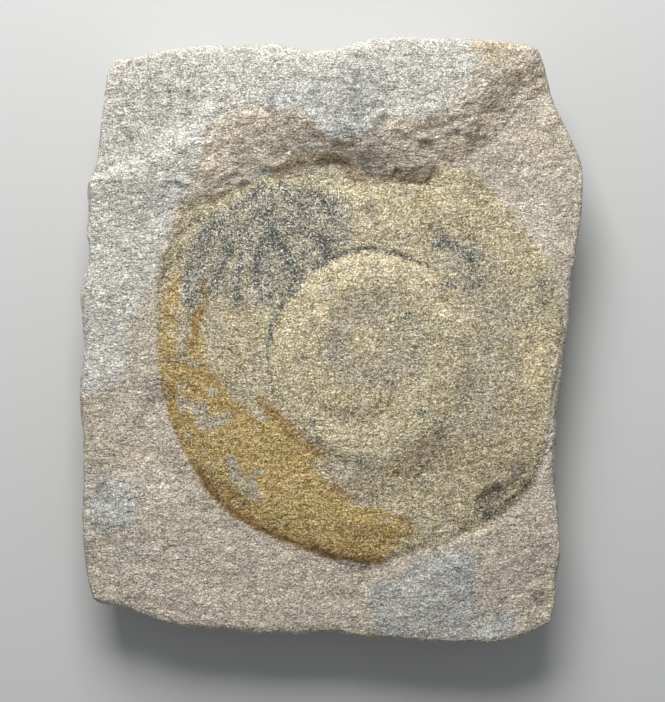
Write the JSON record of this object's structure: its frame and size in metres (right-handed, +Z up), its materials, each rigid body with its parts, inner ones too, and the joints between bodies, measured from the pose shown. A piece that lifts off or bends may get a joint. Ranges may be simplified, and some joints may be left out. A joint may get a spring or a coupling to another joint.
{
  "type": "fossil eldonia",
  "caption": "Hand-sized sandstone slab with the raised round cast of an eldonia: a low disc, an off-centre raised ring around a shallow hollow, and a rough step up to a thicker layer.",
  "frame": {"origin": "middle of the slab's outline, on the plane of the flat underside", "axes": "+Z up out of the fossil's face, +Y along the slab towards its thicker end, +X across it"},
  "size_m": [0.1014, 0.1218, 0.0203],
  "materials": {
    "sandstone": "dull, fine-grained, stained with ochre and dark manganese on the fossil"
  },
  "bodies": {
    "root": {"fossil_slab": "sandstone"}
  },
  "joints": []
}
